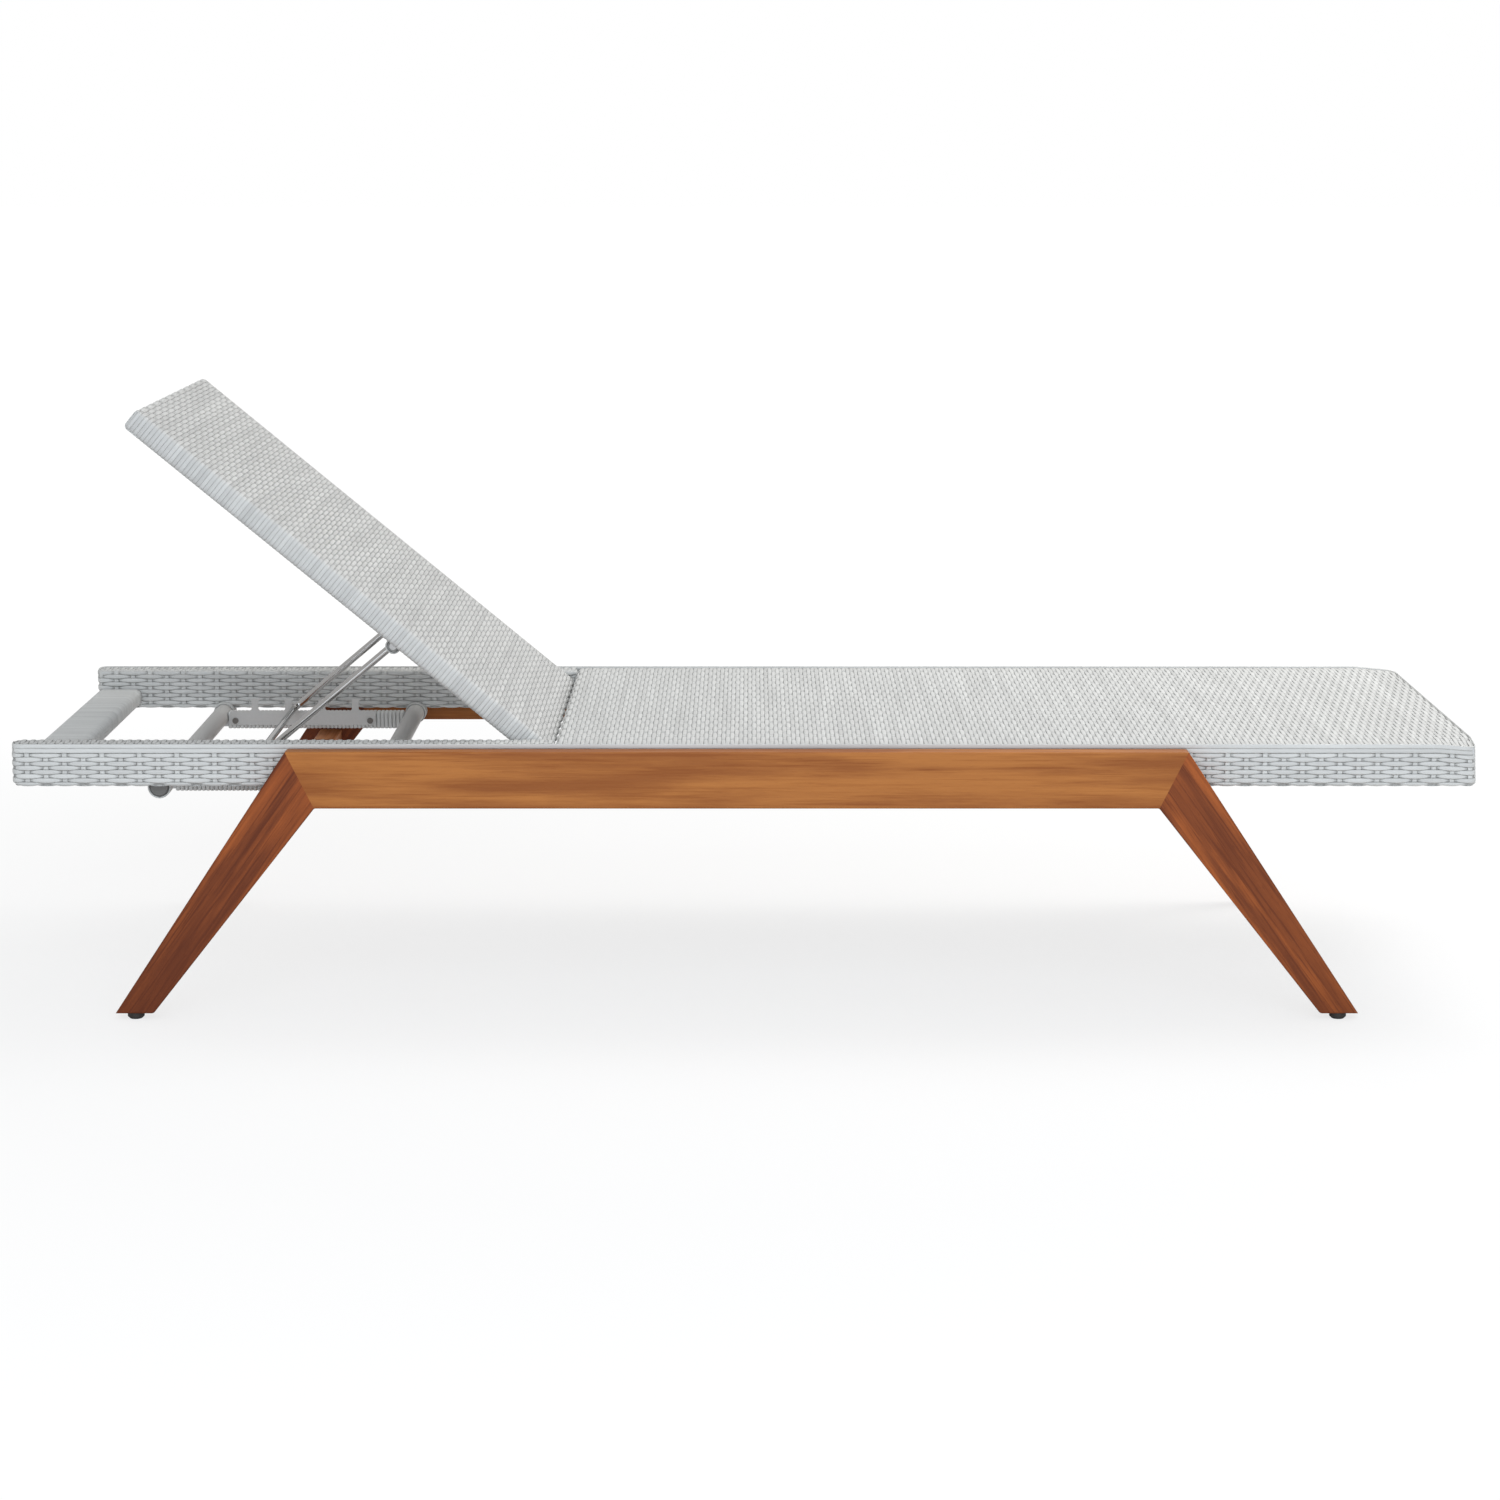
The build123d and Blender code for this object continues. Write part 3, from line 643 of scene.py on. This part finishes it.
# The seat is two pieces, split after an even number of rows so that the strands keep their turn
half_rows = seat_rows // 2 // 2 * 2
for name, count, start, posts, replaced in (
    ("foot", half_rows, 0.0, [seat_posts], ["seat_sheet"]),
    ("head", seat_rows - half_rows, half_rows * seat_pitch, [], []),
):
    rows = lay(
        seat_skin, count, seat_width, STRAND_THICKNESS, True, seat_step, seat_pitch, start, seat_wave, SEAT
    )
    piece(f"seat_weave_{name}", [rows] + posts, "base", wicker_light, replaced)

for side_name, side in SIDES.items():
    inner = side * (rail_low.y + INNER_TUCK)
    corners = [(inner, top_z - TUCK_LENGTH), (inner, top_z)] + down_edge(side)[1:]
    profile = eased(head_low.x - TOP_GAP, rail_low.x + WEAVE_DEPTH, TOP_EASE)
    top_skin = Skin(Path(corners if side > 0 else corners[::-1], TOP_ROUND), profile, Y, Z, X)
    piece(f"rail_top_weave_{side_name}", weave(top_skin, True), "base", wicker_light)

# Seat head member: rows across its head face, underneath and its foot face
MEMBER_ROUND = 0.004
MEMBER_HEAD_DROP = 0.004
MEMBER_FOOT_DROP = 0.009
member_head, member_foot = head_low.x + WEAVE_DEPTH, head_high.x - WEAVE_DEPTH
member_under = head_low.z + WEAVE_DEPTH
member_corners = [
    (member_foot, head_high.z - MEMBER_FOOT_DROP),
    (member_foot, member_under),
    (member_head, member_under),
    (member_head, head_high.z - MEMBER_HEAD_DROP),
]
member_skin = Skin(Path(member_corners, MEMBER_ROUND), level(rail_low.y, -rail_low.y), X, Z, Y)
member_rows = weave(member_skin, False, RAISED)
piece("seat_head_weave", member_rows, "base", wicker_light, ["seat_head_wrap"])

# Wound bars: the head bar, the rack's side bars and the rack tubes' ends
HEAD_BAR_ROUND = 0.009
RACK_BAR_ROUND = 0.003
SADDLE_IN = 0.014
SADDLE_OUT = 0.003
SADDLE_PROUD = 0.0014


def ring_path(low, high, radius, depth):
    """Once round a bar's section, from the middle of its underside."""
    (left, under), (right, over) = (low[0] + depth, low[1] + depth), (high[0] - depth, high[1] - depth)
    middle = (left + right) / 2
    corners = [(middle, under), (left, under), (left, over), (right, over), (right, under), (middle, under)]
    return Path(corners, radius - depth)


head_ring = ring_path(bar_low.xz, bar_high.xz, HEAD_BAR_ROUND, WOUND_DEPTH)
head_wound = Skin(head_ring, level(bar_high.y, bar_low.y), X, Z, Y)
piece("head_bar_weave", wrapping(head_wound), "base", wicker_light, ["head_bar_wrap"])

for side_name, side in SIDES.items():
    node = f"rack_bar_wrap_{side_name}"
    low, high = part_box(node)
    ring = ring_path(low.yz, high.yz, RACK_BAR_ROUND, WOUND_DEPTH)
    wound = Skin(ring, level(tube_foot[0].x, tube_head[1].x), Y, Z, X)
    piece(f"rack_bar_weave_{side_name}", wrapping(wound), "base", wicker_light, [node])

for tube_name, (low, high) in {"head": tube_head, "foot": tube_foot}.items():
    proud = Vector((SADDLE_PROUD, 0, SADDLE_PROUD))
    around = ring_path((low - proud).xz, (high + proud).xz, (high.x - low.x) / 2 + SADDLE_PROUD, 0)
    rings = []
    for side in SIDES.values():
        near, far = sorted((side * (rail_low.y - SADDLE_IN), side * (high.y + SADDLE_OUT)))
        rings += wrapping(Skin(around, level(far, near), X, Z, Y))
    piece(f"rack_tube_weave_{tube_name}", rings, "base", wicker_light)

# Backrest: strands from side to side, wound round its edge tubes, and rows over its two ends
BACK_ROUND = 0.0035
BACK_EASE = 0.006
BACK_END_ROUND = 0.0055
BACK_END_INSET = 0.002
BACK_TUCK = 0.002
HEAD_LAP = 0.008
TAIL_LAP = 0.010
side_out, side_in = edge_high.y - WEAVE_DEPTH, edge_low.y + WEAVE_DEPTH
face, under = BACK_HALF - WEAVE_DEPTH, WEAVE_DEPTH - BACK_HALF
tuck_u = BACK_HALF - BACK_SHEET - BACK_TUCK
half_plan = [(side_out, face), (side_out, under), (side_in, under), (side_in, tuck_u)]
back_plan = Path([(-y, u) for y, u in reversed(half_plan)] + half_plan, BACK_ROUND)
head_end, tail_end = BACK_LENGTH - WEAVE_DEPTH, WEAVE_DEPTH - BACK_TAIL
back_skin = Skin(back_plan, eased(head_end, tail_end, BACK_EASE), Y, PANEL_U, PANEL_S, hinge)
back_margin = (face - under) + (side_out - side_in) + (tuck_u - under)
back_rows = weave(back_skin, True, margin=back_margin)
back_wraps = ["back_sheet", "back_edge_wrap_left", "back_edge_wrap_right"]
piece("back_weave", back_rows, "backrest", wicker_back, back_wraps)

head_inside = BACK_LENGTH - BACK_TUBE + WEAVE_DEPTH
tail_inside = BACK_TUBE - BACK_TAIL - WEAVE_DEPTH
back_ends = {
    "head": [
        (BACK_LENGTH - HEAD_LAP, face), (head_end, face), (head_end, under),
        (head_inside, under), (head_inside, tuck_u),
    ],
    "tail": [
        (tail_inside, tuck_u), (tail_inside, under),
        (tail_end, under), (tail_end, face), (TAIL_LAP - BACK_TAIL, face),
    ],
}
end_reach = side_out - BACK_END_INSET
for end_name, corners in back_ends.items():
    end_plan = Path(corners, BACK_END_ROUND)
    end_skin = Skin(end_plan, level(end_reach, -end_reach), PANEL_S, PANEL_U, Y, hinge)
    rows = weave(end_skin, False, RAISED)
    piece(f"back_{end_name}_weave", rows, "backrest", wicker_light, [f"back_{end_name}_wrap"])

# Lugs under the backrest, wound with strand
LUG_WIDTH = 0.020
LUG_TOP = -0.010
LUG_BOTTOM = -0.031
LUG_RISE = 0.006
LUG_ROUND = 0.009
LUG_DEPTH = 0.0002
LUG_CORE_DEPTH = 0.0012
LUG_CORE_END = 0.002
panel_matrix = Matrix.Translation(hinge) @ Matrix((PANEL_S, Y, PANEL_U)).transposed().to_4x4()
lug_along = (prop_pivot - hinge).dot(PANEL_S)
lug_low, lug_high = lug_along - LUG_WIDTH / 2, lug_along + LUG_WIDTH / 2
lug_ring = ring_path((lug_low, LUG_BOTTOM), (lug_high, LUG_TOP + LUG_RISE), LUG_ROUND, LUG_DEPTH)
for side_name, side in SIDES.items():
    node = f"prop_lug_{side_name}"
    low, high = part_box(node)
    wound = Skin(lug_ring, level(high.y, low.y), PANEL_S, PANEL_U, Y, hinge)
    piece(f"prop_lug_weave_{side_name}", wrapping(wound), "backrest", wicker_light, [node])
    # A dark inside under the lug's strands, as painted shade
    core_low = Vector((lug_low + LUG_CORE_DEPTH, low.y + LUG_CORE_END, LUG_BOTTOM + LUG_CORE_DEPTH))
    core_high = Vector((lug_high - LUG_CORE_DEPTH, high.y - LUG_CORE_END, LUG_TOP))
    core = block(core_low, core_high, panel_matrix)
    piece(f"prop_lug_inside_{side_name}", [core], "backrest", wicker_inside)

# Insides of the woven bars, coloured dark as painted shade
inset = Vector((CORE_DEPTH,) * 3)
for name in ("side_wrap_left", "side_wrap_right", "foot_end_wrap", "seat_head_wrap", "head_bar_wrap"):
    low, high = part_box(name)
    across = Vector() if name.startswith("side") else Vector((0, CORE_DEPTH, 0))
    core_high = high - inset + across - Vector((0, 0, CORE_LOW))
    core = block(low + inset - across, core_high, shape=soft_corners)
    piece(name.replace("_wrap", "_inside"), [core], "base", wicker_inside)
cores = []
core_under, core_over = CORE_DEPTH - BACK_HALF, BACK_HALF - CORE_DEPTH
for side in SIDES.values():
    near, far = sorted((side * (edge_low.y + CORE_DEPTH), side * (edge_high.y - CORE_DEPTH)))
    low = Vector((CORE_DEPTH - BACK_TAIL, near, core_under))
    high = Vector((BACK_LENGTH - CORE_DEPTH, far, core_over))
    cores.append(block(low, high, panel_matrix))
for start, stop in ((-BACK_TAIL, BACK_TUBE - BACK_TAIL), (BACK_LENGTH - BACK_TUBE, BACK_LENGTH)):
    low = Vector((start + CORE_DEPTH, -edge_low.y, core_under))
    high = Vector((stop - CORE_DEPTH, edge_low.y, core_over))
    cores.append(block(low, high, panel_matrix))
piece("back_inside", cores, "backrest", wicker_inside)

# Finishes of the CAD pieces: teak's grain runs along its piece, and a metal's lay along its own direction
LEG_TURN = 0.9487
ALL_WAYS = (300, 300, 300)
ALONG_X = (30, 400, 400)
ALONG_Y = (400, 20, 400)
TEAKS = {
    "teak_rail": {"light": shade(0.44, 0.162, 0.036), "dark": shade(0.27, 0.080, 0.015), "streak": 0.55},
    "teak_leg_head": {
        "light": shade(0.33, 0.080, 0.015), "dark": shade(0.12, 0.024, 0.005),
        "turn": (0, LEG_TURN, 0), "shift": 3.1, "streak": 0.6,
    },
    "teak_leg_foot": {
        "light": shade(0.44, 0.112, 0.020), "dark": shade(0.14, 0.030, 0.006),
        "turn": (0, -LEG_TURN, 0), "shift": 7.7, "streak": 0.6,
    },
    # The stretchers' teak is lighter than the rails', as painted light on their lit tops
    "teak_stretcher": {
        "light": shade(0.62, 0.27, 0.12), "dark": shade(0.38, 0.14, 0.055),
        "turn": (0, 0, pi / 2), "shift": 5.3,
    },
    "dowel_wood": {"light": shade(0.6, 0.42, 0.25), "dark": shade(0.45, 0.3, 0.16), "shift": 1.7},
}
METALS = {
    "coated_steel": {
        "light": shade(0.58, 0.57, 0.555), "dark": shade(0.48, 0.47, 0.455),
        "metallic": 0.0, "rough": (0.38, 0.55), "stretch": ALL_WAYS, "grain_depth": 0.0001,
    },
    "bright_steel": {
        "light": shade(0.58, 0.57, 0.56), "dark": shade(0.42, 0.41, 0.40),
        "metallic": 1.0, "rough": (0.04, 0.12), "stretch": ALONG_X, "grain_depth": 0.00005,
    },
    "dark_steel": {
        "light": shade(0.20, 0.185, 0.17), "dark": shade(0.12, 0.11, 0.10),
        "metallic": 0.6, "rough": (0.4, 0.6), "stretch": ALL_WAYS, "grain_depth": 0.0001,
    },
    "frame_aluminium": {
        "light": shade(0.6, 0.6, 0.6), "dark": shade(0.5, 0.5, 0.5),
        "metallic": 0.9, "rough": (0.35, 0.5), "stretch": ALONG_Y, "grain_depth": 0.00008,
    },
}
PLASTICS = {
    "plug_plastic": {"light": shade(0.19, 0.185, 0.178), "dark": shade(0.12, 0.116, 0.11), "rough": 0.45},
    "nylon": {"light": shade(0.82, 0.82, 0.8), "dark": shade(0.7, 0.7, 0.68), "rough": 0.35},
    "glide_plastic": {"light": shade(0.035, 0.026, 0.02), "dark": shade(0.015, 0.012, 0.01), "rough": 0.4},
}
finishes = {"wicker": wicker_inside}
for make, looks in ((teak, TEAKS), (metal, METALS), (plastic, PLASTICS)):
    finishes.update({name: make(name, **look) for name, look in looks.items()})
own_finishes = {"rack_plugs": "plug_plastic", "rack_screws": "dark_steel"}
slots = {row["node"]: row["material_slot"] for row in frame["record"]["subparts"]}
for name, made in nodes.items():
    key = own_finishes.get(name, slots[name])
    if key == "teak" and name.startswith("wood"):
        key = "teak_rail"
    elif key == "teak" and name.startswith("stretcher"):
        key = "teak_stretcher"
    elif key == "teak":
        key = "teak_" + name.rsplit("_", 1)[0]
    made.data.materials.clear()
    made.data.materials.append(finishes[key])

# Studio: a pale floor, which glows white to the camera but keeps the shadow near the object
FLOOR_HALF = 40
FLOOR_SHADE = shade(0.78, 0.78, 0.78)
FLOOR_GLOW = 1.05
GLOW_NEAR = 1.2
GLOW_FAR = 3.0
GLOW_SHARE = 0.7
WHITE = shade(1, 1, 1)
bm = bmesh.new()
bmesh.ops.create_grid(bm, x_segments=1, y_segments=1, size=FLOOR_HALF)
floor_mesh = bpy.data.meshes.new("floor")
bm.to_mesh(floor_mesh)
bm.free()
floor = bpy.data.objects.new("floor", floor_mesh)
bpy.context.scene.collection.objects.link(floor)
floor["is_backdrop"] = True
pale = Finish("pale_floor")
seen = pale.node("LightPath", {}, {}, "Is Camera Ray")
pale.set(base_color=FLOOR_SHADE, roughness=0.9)
away = pale.node("VectorMath", {"operation": "LENGTH"}, {0: pale.place()}, "Value")
glow = pale.node("Emission", {}, {"Color": WHITE, "Strength": FLOOR_GLOW})
share = seen * pale.band(away, GLOW_NEAR, GLOW_FAR, GLOW_SHARE, 1.0)
mixed = pale.node("MixShader", {}, {0: share, 1: Value(pale, pale.shader.outputs[0]), 2: glow})
pale.tree.links.new(mixed.socket, pale.tree.nodes["Material Output"].inputs["Surface"])
floor_mesh.materials.append(pale.material)

# World: soft white light from all sides, and a white background to the camera
WORLD_LIGHT = 0.63
WORLD_SEEN = 1.0
world = bpy.data.worlds.new("studio")
bpy.context.scene.world = world
world.use_nodes = True
tree = world.node_tree
rays = tree.nodes.new("ShaderNodeLightPath")
strength = tree.nodes.new("ShaderNodeMapRange")
strength.inputs["To Min"].default_value = WORLD_LIGHT
strength.inputs["To Max"].default_value = WORLD_SEEN
tree.links.new(rays.outputs["Is Camera Ray"], strength.inputs["Value"])
tree.links.new(strength.outputs[0], tree.nodes["Background"].inputs["Strength"])
tree.nodes["Background"].inputs["Color"].default_value = WHITE


def lamp(name, place, target, size, power, colour):
    """A square soft light aimed at a point."""
    data = bpy.data.lights.new(name, "AREA")
    data.size, data.energy, data.color = size, power, colour
    made = bpy.data.objects.new(name, data)
    made.location = place
    made.rotation_euler = (Vector(target) - Vector(place)).to_track_quat("-Z", "Y").to_euler()
    bpy.context.scene.collection.objects.link(made)


lamp(
    "overhead", place=(1.4, 0.8, 2.4), target=(0.6, 0.0, 0.35), size=1.6, power=40, colour=(1.0, 0.98, 0.95)
)
lamp("fill", place=(0.3, -5.8, 2.9), target=(0, 0, 0.35), size=6.0, power=225, colour=(0.81, 0.90, 1.0))

bpy.context.scene.view_settings.view_transform = "Standard"
low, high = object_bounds()
